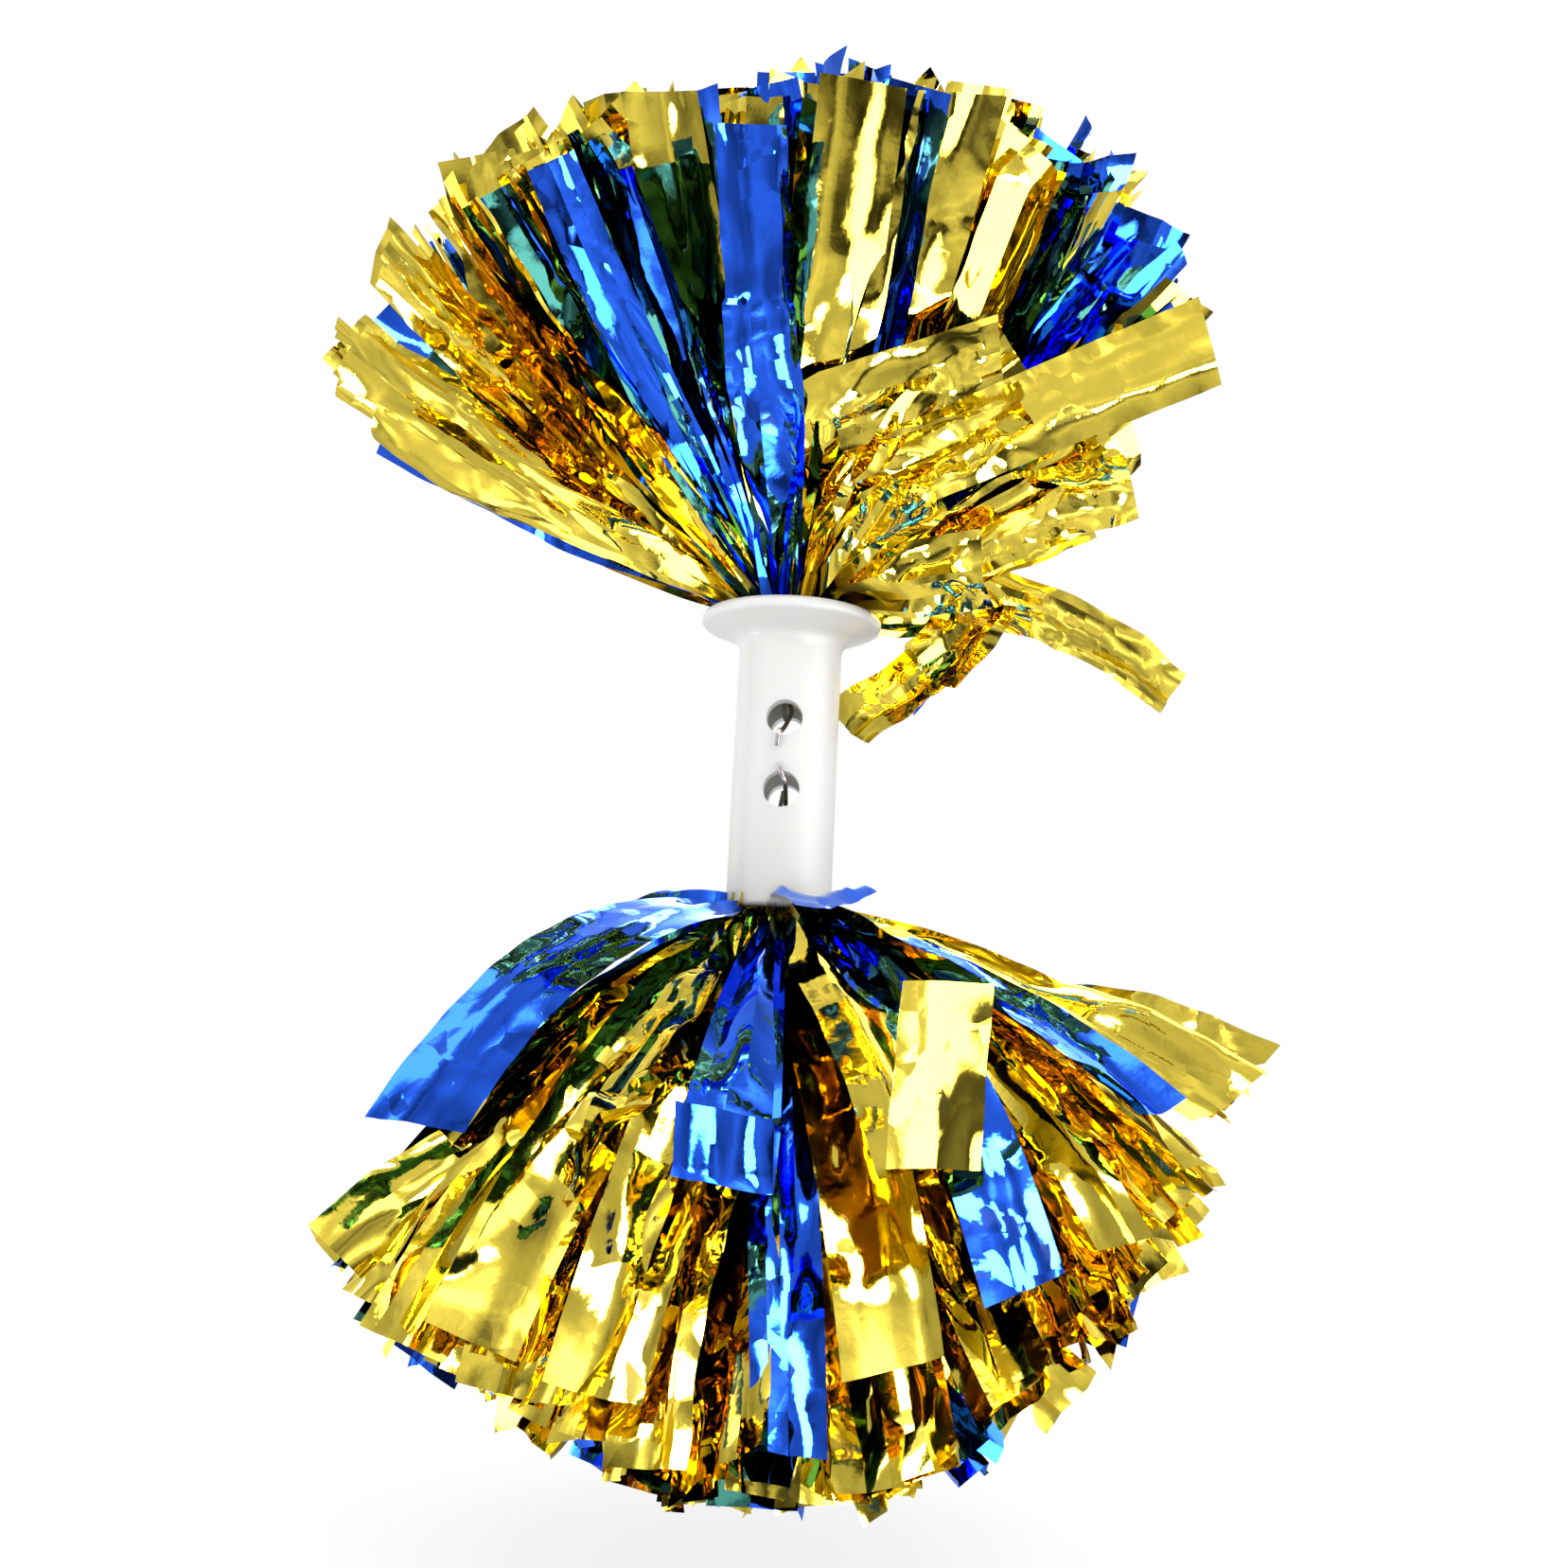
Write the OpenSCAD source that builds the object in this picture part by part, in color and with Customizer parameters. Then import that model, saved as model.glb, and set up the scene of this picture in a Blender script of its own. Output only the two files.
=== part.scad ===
// Two-ended cheer pom pom with a baton handle.
// Frame: origin at the middle of the handle, +Z along it towards its flanged upper end,
// -Y is the front, +X the right. Two access holes pass through the grip from front to back.
// Streamers leave both mouths of the handle. Each is a flat ribbon gathered to a narrow neck
// at its root. Lower streamers are built at the upper mouth and mirrored in the plane z = 0.

/* [Handle] */
// Length of the moulded handle, mouth to mouth
handle_len = 80; // [70:1:110]
// Outside diameter of the grip
handle_d = 28; // [26:0.5:34]
// Diameter of the bore that holds the streamer roots
bore_d = 18; // [17:0.5:18]
// Diameter of the stop flange at the upper end
flange_d = 49; // [44:1:60]
// Thickness of the flange at its rim
flange_t = 3.6; // [3:0.1:5]
// Fillet between the grip and the underside of the flange
flange_fillet = 5; // [3:0.5:6]
// Diameter of each access hole
hole_d = 9.5; // [9:0.1:10]
// Distance between the two access holes
hole_pitch = 19; // [17:0.5:20]

/* [Streamers] */
// Width of one foil streamer
streamer_w = 21; // [15:0.5:22]
// Free length of a streamer outside the handle
streamer_len = 148; // [110:1:165]
// Thickness of one modelled streamer, a stack of a few foils
streamer_t = 0.3; // [0.2:0.05:0.4]
// Distance from the root at which a streamer has opened to its full width
gather_len = 99; // [95:1:104]

/* [Tie wires] */
// Diameter of the steel tie wire
wire_d = 1.2; // [1:0.1:1.3]

/* [Hidden] */
SIDES = ["front", "front_right", "back_right", "back", "back_left", "front_left"];
INNER = ["inner_front", "inner_right", "inner_left"];

IVORY = [0.95, 0.94, 0.90];
STEEL = [0.62, 0.62, 0.64];
GOLD = [0.83, 0.69, 0.13];
BLUE = [0.05, 0.20, 0.80];

half = handle_len / 2; // height of the upper mouth
grip_r = handle_d / 2;
flange_r = flange_d / 2;
tie_z = half - 15.5;   // centre of the tie loop and of the waist it goes round
knot_z = half - 21.8;

// ---- handle ---------------------------------------------------------------

foot_round = 1.4;      // rounding of the lower outer edge
bore_chamfer = 0.8;
flange_slope = 2;      // drop of the flange underside from the rim to the fillet

// Half section of the moulding: grip, filleted flange with a rounded rim, rounded foot.
module handle_section() {
    bore_r = bore_d / 2;
    foot_at = [grip_r - foot_round, -half + foot_round];
    fillet_at = [grip_r + flange_fillet, half - flange_t - flange_slope - flange_fillet];
    rim_round = flange_t / 2;
    rim_at = [flange_r - rim_round, half - rim_round];
    polygon(concat(
        [[bore_r + bore_chamfer, -half], [grip_r - foot_round, -half]],
        [for (a = [-75 : 15 : 0]) foot_at + foot_round * [cos(a), sin(a)]],
        [for (a = [180 : -10 : 100]) fillet_at + flange_fillet * [cos(a), sin(a)]],
        [for (a = [-65 : 13 : 90]) rim_at + rim_round * [cos(a), sin(a)]],
        [[bore_r + bore_chamfer, half],
         [bore_r, half - bore_chamfer],
         [bore_r, -half + bore_chamfer]]));
}

module handle() {
    color(IVORY)
    difference() {
        rotate_extrude($fn = 96) handle_section();
        for (s = [-1, 1])
            translate([0, 0, s * hole_pitch / 2])
                rotate([90, 0, 0])
                    cylinder(d = hole_d, h = handle_d + 4, center = true, $fn = 48);
    }
}

// ---- tie wires ------------------------------------------------------------

loop_r = 5.9;
knot_d = 2.2;
bend_ball = 1.16;      // diameter of the ball at a bend, in wire diameters

// Wire ends as [x, y, z] points. Each starts inside the knot.
// The long ends leave the handle through the front of an access hole.
UPPER_LONG_END = [
    [0.2, -0.2, half - 21.9], [0.9, -1.5, half - 25], [1.4, -5.0, 12.4], [0.2, -8.2, 8.6],
    [-0.7, -12.4, 6.1], [-1.1, -15.2, 5.7], [-1.5, -15.2, 1.6]];
UPPER_SHORT_END = [[-0.2, 0.2, knot_z], [-1.0, 0.8, half - 25.2], [-0.4, 1.6, 11.6]];
LOWER_LONG_END = [
    [0.1, -0.3, -half + 22.2], [0.9, -2.2, -half + 25.7], [0.95, -9.5, -8.9],
    [0.9, -14.6, -7.6], [-1.0, -15.4, -2.9]];
LOWER_SHORT_END = [[-0.2, 0.2, -knot_z], [-1.1, 1.0, -half + 25], [-0.2, 3.0, -7.6]];

// A round wire through a list of points, with a ball at every point but the first.
module wire(points) {
    for (i = [0 : len(points) - 2]) {
        step = points[i + 1] - points[i];
        translate(points[i])
            rotate([0, acos(step[2] / norm(step)), atan2(step[1], step[0])])
                cylinder(d = wire_d, h = norm(step), $fn = 24);
    }
    for (i = [1 : len(points) - 1])
        translate(points[i]) sphere(d = wire_d * bend_ball, $fn = 24);
}

// The loop round the folded middle of a bundle, in the plane x = 0, and the knot of its ends.
// end is 1 for the upper bundle, -1 for the lower.
module tie_loop(end) {
    translate([0, 0, end * tie_z])
        rotate([0, 90, 0])
            rotate_extrude($fn = 64) translate([loop_r, 0]) circle(d = wire_d, $fn = 24);
    translate([0, 0, end * knot_z]) sphere(d = knot_d, $fn = 32);
}

module upper_tie_wire() {
    color(STEEL) union() {
        tie_loop(1);
        wire(UPPER_LONG_END);
        wire(UPPER_SHORT_END);
    }
}

module lower_tie_wire() {
    color(STEEL) union() {
        tie_loop(-1);
        wire(LOWER_LONG_END);
        wire(LOWER_SHORT_END);
    }
}

// ---- folded middles of the bundles, inside the bore -----------------------

root_r = 8.6;
fold_r = 8;
fold_depth = 12.4;     // axis of the fold, below the mouth
root_rise = 3;         // height of the legs above the mouth
slot_w = 1.6;
slot_depth = 24;       // bottom of the slot, below the mouth
slot_h = 21.5;
waist_r = 5;

LOOSE_AT = [16, 40, 64]; // azimuths of the three loose upper streamers
loose_root_w = 4;      // width of a loose streamer's root and of its tail
tail_start = 6;        // distance of a tail's inner end from the axis
tail_inset = 0.8;      // gap from a tail's outer end to the flange rim

// The streamers are folded double and pushed into the mouth. The fold is a half cylinder
// across the bore, with its legs, a tapered top and a thin skirt over the mouth.
module root_body(skirt_r) {
    intersection() {
        translate([0, 0, half - fold_depth])
            rotate([90, 0, 0]) cylinder(r = fold_r, h = 20, center = true, $fn = 48);
        translate([0, 0, half - 22]) cylinder(r = root_r, h = 12, $fn = 64);
    }
    translate([0, 0, half - fold_depth])
        cylinder(r = root_r, h = fold_depth + root_rise, $fn = 64);
    translate([0, 0, half + root_rise - 0.4]) cylinder(r1 = 7.4, r2 = 4.6, h = 2.2, $fn = 64);
    translate([0, 0, half + 0.3]) cylinder(r = skirt_r, h = 0.9, $fn = 64);
}

module bundle_root(skirt_r) {
    difference() {
        union() root_body(skirt_r);
        // slot between the two legs of the fold, with the tied waist left standing in it
        difference() {
            translate([-slot_w / 2, -12, half - slot_depth]) cube([slot_w, 24, slot_h]);
            translate([0, 0, tie_z])
                rotate([0, 90, 0]) cylinder(r = waist_r, h = 4, center = true, $fn = 48);
        }
    }
}

// The upper root also carries flat tails over the flange, one towards each loose streamer.
module upper_bundle_root() {
    color(GOLD) union() {
        bundle_root(skirt_r = 9.9);
        for (azimuth = LOOSE_AT)
            rotate([0, 0, azimuth])
                translate([tail_start, -loose_root_w / 2, half + 0.5])
                    cube([flange_r - tail_inset - tail_start, loose_root_w, 0.4]);
    }
}

module lower_bundle_root() {
    color(GOLD) mirror([0, 0, 1]) bundle_root(skirt_r = 14.4);
}

// ---- one ribbon -----------------------------------------------------------

crease_r = 0.5;

// A ribbon's centre line is a chain of three equal segments, each at a polar angle from +Z.
function along(angle) = [sin(angle), cos(angle)];
function normal(angle) = [cos(angle), -sin(angle)];
function path(angles, segment, i = 0, at = [0, 0]) =
    i == len(angles) ? [at]
    : concat([at], path(angles, segment, i + 1, at + segment * along(angles[i])));

// Offset direction at the corner between two segments.
function mitre(a, b) = let (sum = normal(a) + normal(b)) sum / norm(sum) / cos((a - b) / 2);

// The centre line moved sideways by a distance.
function side(angles, segment, distance) =
    let (points = path(angles, segment), n = len(angles))
    [for (i = [0 : n])
        points[i] + distance * (
            i == 0 ? normal(angles[0])
            : i == n ? normal(angles[n - 1])
            : mitre(angles[i - 1], angles[i]))];
function flip(list) = [for (i = [len(list) - 1 : -1 : 0]) list[i]];

// A roll on the Y axis.
module crease(radius, width) {
    rotate([90, 0, 0]) cylinder(r = radius, h = width, center = true, $fn = 24);
}

// Bent strip from the origin along +X and +Z: its edge profile cut to a gathered outline.
// opened and reach are where the outline attains full width and where it ends.
module strip(angles, segment, root_w, opened, reach) {
    root_y = root_w / 2;
    edge_y = streamer_w / 2;
    intersection() {
        rotate([90, 0, 0])
            linear_extrude(height = streamer_w + 2, center = true)
                polygon(concat(
                    side(angles, segment, streamer_t / 2),
                    flip(side(angles, segment, -streamer_t / 2))));
        rotate([0, (angles[0] + angles[1] + angles[2]) / 3 - 90, 0])
            linear_extrude(height = 120, center = true)
                polygon([
                    [-1, -root_y], [0.4, -root_y], [opened, -edge_y], [reach, -edge_y],
                    [reach, edge_y], [opened, edge_y], [0.4, root_y], [-1, root_y]]);
    }
}

// A strip with a crease at its root, turned by fan about Z.
module ribbon(angles, length, root_w, fan = 0) {
    crease(crease_r, root_w);
    rotate([0, 0, fan]) strip(angles, length / 3, root_w, gather_len, length + 9);
}

// ---- locks of streamers ---------------------------------------------------

rim_r = 10.8;          // pivot radius of the upper outer streamers, just outside the bore
mouth_r = 15.6;        // pivot radius of the lower outer streamers, just outside the tube
pivot_z = half + 1.6;

// Degrees added to the polar angles of the outer locks, in the order of SIDES.
// The pom leans out further on its right.
UPPER_LEAN = [0, 4, 5, 1, -1, -1];
LOWER_LEAN = [-4, 6, 6, 0, 0, 0];

// A repeatable irregularity between -0.8 and 0.8.
function wobble(i, variant) = 0.8 * sin(137 * i + 71 * variant);

// Two ribbons in every five are blue.
function is_blue(i, variant) = (2 * i + variant) % 5 < 2;

// A lock of count ribbons side by side on one crease line, fanned out like fingers.
// Only those of one colour are built. variant changes the pattern from lock to lock,
// pivot is the [radius, z] of the crease line, fan is the turn from ribbon to ribbon,
// zigzag tilts alternate ribbons out and in.
module lock(count, blue, variant, angles, pivot, pitch, fan, zigzag, length) {
    color(blue ? BLUE : GOLD)
    for (i = [0 : count - 1]) if (is_blue(i, variant) == blue) {
        place = i - (count - 1) / 2;
        tilt = (i % 2 == 0 ? zigzag : -zigzag) + wobble(i, variant);
        translate([pivot[0], place * pitch, pivot[1]])
            ribbon(
                angles = [for (a = angles) a + tilt],
                length = length * (1 + 0.03 * wobble(i + 3, variant)),
                root_w = pitch - 0.8,
                fan = place * fan);
    }
}

module outer_lock(up, s, blue) {
    lean = up ? UPPER_LEAN[s] : LOWER_LEAN[s];
    mirror([0, 0, up ? 0 : 1])
        rotate([0, 0, -90 + 60 * s])
            lock(
                count = 6, blue = blue, variant = s + (up ? 0 : 2),
                angles = [for (a = up ? [42, 50, 56] : [68, 50, 36]) a + lean],
                pivot = [up ? rim_r : mouth_r, pivot_z],
                pitch = up ? 1.9 : 2.7, fan = 8.2, zigzag = up ? 5.5 : 5,
                length = streamer_len - (up ? 4 : 0));
}

module inner_lock(up, s, blue) {
    mirror([0, 0, up ? 0 : 1])
        rotate([0, 0, -90 + 120 * s])
            lock(
                count = 5, blue = blue, variant = s + (up ? 1 : 3),
                angles = up ? [25, 30, 35] : [30, 27, 23],
                pivot = [6.6, half + 4.2],
                pitch = 2.4, fan = 21, zigzag = 3.5,
                length = streamer_len - (up ? 2 : 0));
}

// Five ribbons in a row along Y, spread about the axis, in alternating colours.
module crown_lock(up, blue) {
    mirror([0, 0, up ? 0 : 1])
    color(blue ? BLUE : GOLD)
    for (i = [0 : 4]) if ((i % 2 == 1) == blue) {
        place = i - 2;
        translate([0.6 * wobble(i, 1), place * 1.9, half + 6.2])
            rotate([0, 0, 90])
                ribbon(
                    angles = place * [5.5, 5, 4],
                    length = streamer_len - 2 + 3 * wobble(i, 2),
                    root_w = 3.2);
    }
}

// ---- single streamers -----------------------------------------------------

// A streamer that has flopped over the rim of the flange and hangs outside the fan.
module loose(azimuth, angles, length) {
    rotate([0, 0, azimuth])
        translate([flange_r + 1.2, 0, half - 0.5])
            ribbon(angles, length, loose_root_w);
}

module upper_loose_gold_streamer() {
    color(GOLD) loose(LOOSE_AT[0], angles = [89, 101, 117], length = 100);
}

module upper_loose_blue_streamer() {
    color(BLUE) loose(LOOSE_AT[1], angles = [92, 135, 170], length = 66);
}

module upper_loose_crumpled_streamer() {
    color(GOLD) loose(LOOSE_AT[2], angles = [105, 160, 175], length = 55);
}

// A front streamer of the lower end whose free end is folded back up over itself.
module folded(azimuth, offset, angles, segment, flap_len, flap_angle) {
    root_w = 2;
    flap_w = streamer_w - 0.4;
    tip = path(angles, segment)[len(angles)];
    mirror([0, 0, 1])
    rotate([0, 0, azimuth])
    translate([mouth_r + 1.7, offset, pivot_z - 0.5]) {
        crease(crease_r, root_w);
        strip(angles, segment, root_w, opened = 55, reach = 200);
        // rounded crease and the flap that points back towards the handle
        translate([tip[0], 0, tip[1]]) {
            crease(0.6, streamer_w - 1);
            rotate([0, flap_angle, 0])
                translate([-streamer_t / 2, -flap_w / 2, 0])
                    cube([streamer_t, flap_w, flap_len]);
        }
    }
}

module lower_folded_gold_streamer() {
    color(GOLD)
        folded(azimuth = -72, offset = -1.4, angles = [86, 66, 48], segment = 35,
               flap_len = 42, flap_angle = 174);
}

module lower_folded_blue_streamer() {
    color(BLUE)
        folded(azimuth = -98, offset = 1.4, angles = [84, 68, 52], segment = 31,
               flap_len = 24, flap_angle = 178);
}

// ---- output ---------------------------------------------------------------

handle();
upper_tie_wire();
lower_tie_wire();
upper_bundle_root();
lower_bundle_root();
for (up = [true, false]) for (blue = [false, true]) {
    end = up ? "upper_" : "lower_";
    kind = blue ? "_blue_streamers" : "_gold_streamers";
    for (s = [0 : 5])
        outer_lock(up, s, blue);
    for (s = [0 : 2])
        inner_lock(up, s, blue);
    crown_lock(up, blue);
}
upper_loose_gold_streamer();
upper_loose_crumpled_streamer();
upper_loose_blue_streamer();
lower_folded_gold_streamer();
lower_folded_blue_streamer();
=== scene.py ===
# A two-ended foil pompom: a short hollow plastic handle stands upright on Z, centred on the
# origin, and gold and blue foil streamers burst from its upper and lower mouths. A wire ties
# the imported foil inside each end. The front is -Y and the right is +X.
# Shapes are worked out in mm and written to the meshes in metres. Lower streamers are built
# like upper ones, opening towards +Z, and mirrored in Z at the end.
import math
from collections import namedtuple

import bpy
import numpy as np
from mathutils import Matrix, Vector


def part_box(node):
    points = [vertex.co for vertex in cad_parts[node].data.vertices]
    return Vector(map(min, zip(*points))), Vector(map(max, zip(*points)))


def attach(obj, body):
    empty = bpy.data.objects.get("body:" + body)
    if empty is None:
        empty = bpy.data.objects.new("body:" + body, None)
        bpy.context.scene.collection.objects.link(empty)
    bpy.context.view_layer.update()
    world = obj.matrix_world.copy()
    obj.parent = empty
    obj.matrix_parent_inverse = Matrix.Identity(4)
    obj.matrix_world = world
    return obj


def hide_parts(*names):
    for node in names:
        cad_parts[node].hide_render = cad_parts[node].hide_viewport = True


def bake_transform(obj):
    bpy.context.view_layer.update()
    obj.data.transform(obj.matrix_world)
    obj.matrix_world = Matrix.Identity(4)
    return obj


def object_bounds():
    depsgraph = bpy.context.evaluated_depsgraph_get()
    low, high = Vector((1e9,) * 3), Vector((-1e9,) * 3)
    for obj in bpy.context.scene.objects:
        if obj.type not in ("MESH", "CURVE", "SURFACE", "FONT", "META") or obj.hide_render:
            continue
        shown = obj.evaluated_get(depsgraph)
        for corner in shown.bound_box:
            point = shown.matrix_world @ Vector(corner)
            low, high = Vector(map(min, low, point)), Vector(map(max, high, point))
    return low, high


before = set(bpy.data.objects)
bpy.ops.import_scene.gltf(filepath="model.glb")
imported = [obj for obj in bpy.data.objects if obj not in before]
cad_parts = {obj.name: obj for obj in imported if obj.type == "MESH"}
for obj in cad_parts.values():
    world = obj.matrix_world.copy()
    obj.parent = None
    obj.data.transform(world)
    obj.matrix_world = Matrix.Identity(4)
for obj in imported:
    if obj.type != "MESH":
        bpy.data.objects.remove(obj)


def box_list(box):
    return [[float(x) for x in corner] for corner in box]


CAD_BOX = box_list(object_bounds())
MM = 0.001
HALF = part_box("handle")[1].z * 1000.0     # half length of the handle, mm
FLOOR_Z = CAD_BOX[0][2] - 0.012           # m

# Mesh of a streamer, mm
STREAMER_WIDTH = 21.0
STEP = 1.7                                # mesh step along it
COLUMNS = 12                              # mesh columns across it

# A lock is a group of streamers, joined into one object per colour. Azimuths run in degrees from +X
# towards +Y; locks are spaced evenly round their ring. A level is the share of the full spread.
Ring = namedtuple("Ring", "locks first_azimuth count levels root_radii seed")
RINGS = {
    "outer": Ring(["front", "front_right", "back_right", "back", "back_left", "front_left"],
                  first_azimuth=-90, count=22, levels=(0.64, 1.0), root_radii=(5.6, 8.2), seed=0),
    "inner": Ring(["inner_front", "inner_right", "inner_left"],
                  first_azimuth=-90, count=21, levels=(0.30, 0.70), root_radii=(2.5, 5.6), seed=10),
    "crown": Ring(["crown"],
                  first_azimuth=0, count=16, levels=(0.02, 0.34), root_radii=(0.2, 2.6), seed=20),
}
FIRST_SEED = 4200
LOWER_SEED = 50                           # added for the lower end


# ---------------------------------------------------------------- view

VIEW_AZIMUTH = math.radians(3.0)
VIEW_ELEVATION = math.radians(-9.3)
VIEW_ROLL = math.radians(2.7)
VIEW_TARGET = Vector((0.0, 0.0, -0.006))
VIEW_DISTANCE = 0.430
LENS = 36.7

TO_CAMERA = Vector((
    math.sin(VIEW_AZIMUTH) * math.cos(VIEW_ELEVATION),
    -math.cos(VIEW_AZIMUTH) * math.cos(VIEW_ELEVATION),
    math.sin(VIEW_ELEVATION)))
level_right = Vector((math.cos(VIEW_AZIMUTH), math.sin(VIEW_AZIMUTH), 0.0))
level_up = TO_CAMERA.cross(level_right)
VIEW_RIGHT = level_right * math.cos(VIEW_ROLL) + level_up * math.sin(VIEW_ROLL)
VIEW_UP = level_up * math.cos(VIEW_ROLL) - level_right * math.sin(VIEW_ROLL)
EYE = VIEW_TARGET + TO_CAMERA * VIEW_DISTANCE


def project(points):
    """Points in mm as seen by the camera: mm across and up, in the plane of the view target."""
    offset = np.asarray(points, float) * MM - np.array(EYE)
    scale = VIEW_DISTANCE * 1000.0
    depth = -(offset @ np.array(TO_CAMERA))
    return np.stack([scale * (offset @ np.array(VIEW_RIGHT)) / depth,
                     scale * (offset @ np.array(VIEW_UP)) / depth], -1)


# Outline of each trimmed burst in the camera's view. Columns: angle from the handle's axis
# in degrees, positive to the right; radius from the mouth in mm.
UPPER_OUTLINE = [(-60, 138.7), (-45, 142.6), (-30, 142.6), (-10, 136.2),
                 (8, 144.1), (30, 144.1), (48, 140.5), (75, 106.9)]
LOWER_OUTLINE = [(-60, 152.7), (-40, 150.7), (-25, 152.7), (-8, 159.1),
                 (8, 165.5), (25, 154.0), (45, 142.6), (72, 136.2)]
# Mouths in the same view, mm across and up
UPPER_MOUTH = (0.9, 48.0)
LOWER_MOUTH = (-2.2, -30.9)


def trimmer(up, reach):
    """A function giving the last step of a centre line inside the outline scaled by reach."""
    mouth = np.array(UPPER_MOUTH if up else LOWER_MOUTH)
    angles, radii = zip(*(UPPER_OUTLINE if up else LOWER_OUTLINE))
    outward = 1.0 if up else -1.0

    def trim(centre):
        seen = project(centre * np.array([1.0, 1.0, outward])) - mouth
        radius = np.hypot(seen[:, 0], seen[:, 1])
        angle = np.degrees(np.arctan2(seen[:, 0], outward * seen[:, 1]))
        outside = np.nonzero(radius > np.interp(angle, angles, radii) * reach)[0]
        return len(centre) - 1 if len(outside) == 0 else int(outside[0])
    return trim


# ---------------------------------------------------------------- shape of a streamer

def smooth(x):
    x = np.clip(x, 0.0, 1.0)
    return x * x * (3.0 - 2.0 * x)


def creases(along, across, length, rng, amp):
    """Height of handled foil, mm: flat facets between straight sharp folds."""
    height = np.zeros(along.shape)
    half = STREAMER_WIDTH / 2

    def tent(at, beside, angle, width, reach, slope):
        off = (across - beside) * math.cos(angle) - (along - at) * math.sin(angle)
        down = (along - at) * math.cos(angle) + (across - beside) * math.sin(angle)
        return slope * width * np.maximum(
            0.0, 1.0 - np.abs(off) / width - np.abs(down) / reach)

    # lengthwise folds
    for _ in range(int(rng.integers(5, 9))):
        height += tent(at=rng.uniform(10, length), beside=rng.uniform(-half, half),
                       angle=math.radians(rng.normal(0, 7)),
                       width=rng.uniform(3.0, 7.5), reach=rng.uniform(30, 90),
                       slope=rng.choice((-1, 1)) * rng.uniform(0.05, 0.20))
    # slanting folds
    for _ in range(int(rng.integers(6, 12))):
        height += tent(at=rng.uniform(18, length + 4), beside=rng.uniform(-half, half),
                       angle=math.radians(rng.choice((-1, 1)) * rng.uniform(18, 75)),
                       width=rng.uniform(2.6, 8.0), reach=rng.uniform(6, 24),
                       slope=rng.choice((-1, 1)) * rng.uniform(0.03, 0.17))
    # folds straight across
    for _ in range(3):
        height += tent(at=rng.uniform(30, length), beside=rng.uniform(-3, 3),
                       angle=math.radians(90 + rng.normal(0, 14)),
                       width=rng.uniform(7, 18), reach=60.0,
                       slope=rng.choice((-1, 1)) * rng.uniform(0.02, 0.09))
    return amp * height


def pleat_heights(rng, seg, fewest, limit):
    """Height across fully gathered pleats; each leans one way for fewest to limit-1 columns."""
    signs, lean = [], 1.0 if rng.random() < 0.5 else -1.0
    while len(signs) < COLUMNS:
        signs += [lean] * int(rng.integers(fewest, limit))
        lean = -lean
    heights = np.concatenate([[0], np.cumsum(np.array(signs[:COLUMNS]) * seg)])
    return (heights - heights.mean())[None, :]


def spine(rng, az, pol, length, start=6.0, bend=9.0, twist=(0.0, 0.0), drift=0.0, kinks=(),
          curl=0.0, wave=1.0):
    """Course of a streamer: distance in mm; polar angle, azimuth and twist in radians.

    az, pol      direction in degrees; pol is three control angles from +Z along the length
    start, bend  polar angle at the root, and the distance over which it passes to pol
    twist        turn of its width about its own length, at the root and at the tip
    drift        change of azimuth from root to tip
    kinks        (distance, change of pol, change of az, change of twist): sharp bends
    curl         extra polar angle at the tip
    wave         strength of the random swaying
    """
    steps = max(8, int(round(length / STEP)))
    dist = np.linspace(0.0, length, steps + 1)
    share = dist / length
    ramp = smooth((dist - 12) / 45)

    def sway(size, wavelength):
        phase = dist / wavelength + rng.random()
        return wave * ramp * size * np.sin(2 * math.pi * phase)

    polar = pol[0] * (1 - share) ** 2 + 2 * pol[1] * share * (1 - share) + pol[2] * share ** 2
    polar = start + (polar - start) * smooth(dist / bend)
    polar_wavelength = rng.uniform(45, 80)
    polar = polar + sway(rng.uniform(1.0, 3.2), polar_wavelength)
    azimuth = az + drift * smooth(share * 1.05) + sway(rng.uniform(0.5, 2.4), rng.uniform(60, 95))
    turn = (twist[0] + (twist[1] - twist[0]) * smooth(share)
            + sway(rng.uniform(2, 7), rng.uniform(50, 90)))
    for at, more_polar, more_azimuth, more_turn in kinks:
        bent = smooth((dist - at) / 2.2)
        polar = polar + more_polar * bent
        azimuth = azimuth + more_azimuth * bent
        turn = turn + more_turn * bent
    if curl:
        polar = polar + curl * np.clip((share - 0.72) / 0.28, 0, 1) ** 2
    return dist, np.radians(polar), np.radians(azimuth), np.radians(turn)


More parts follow.
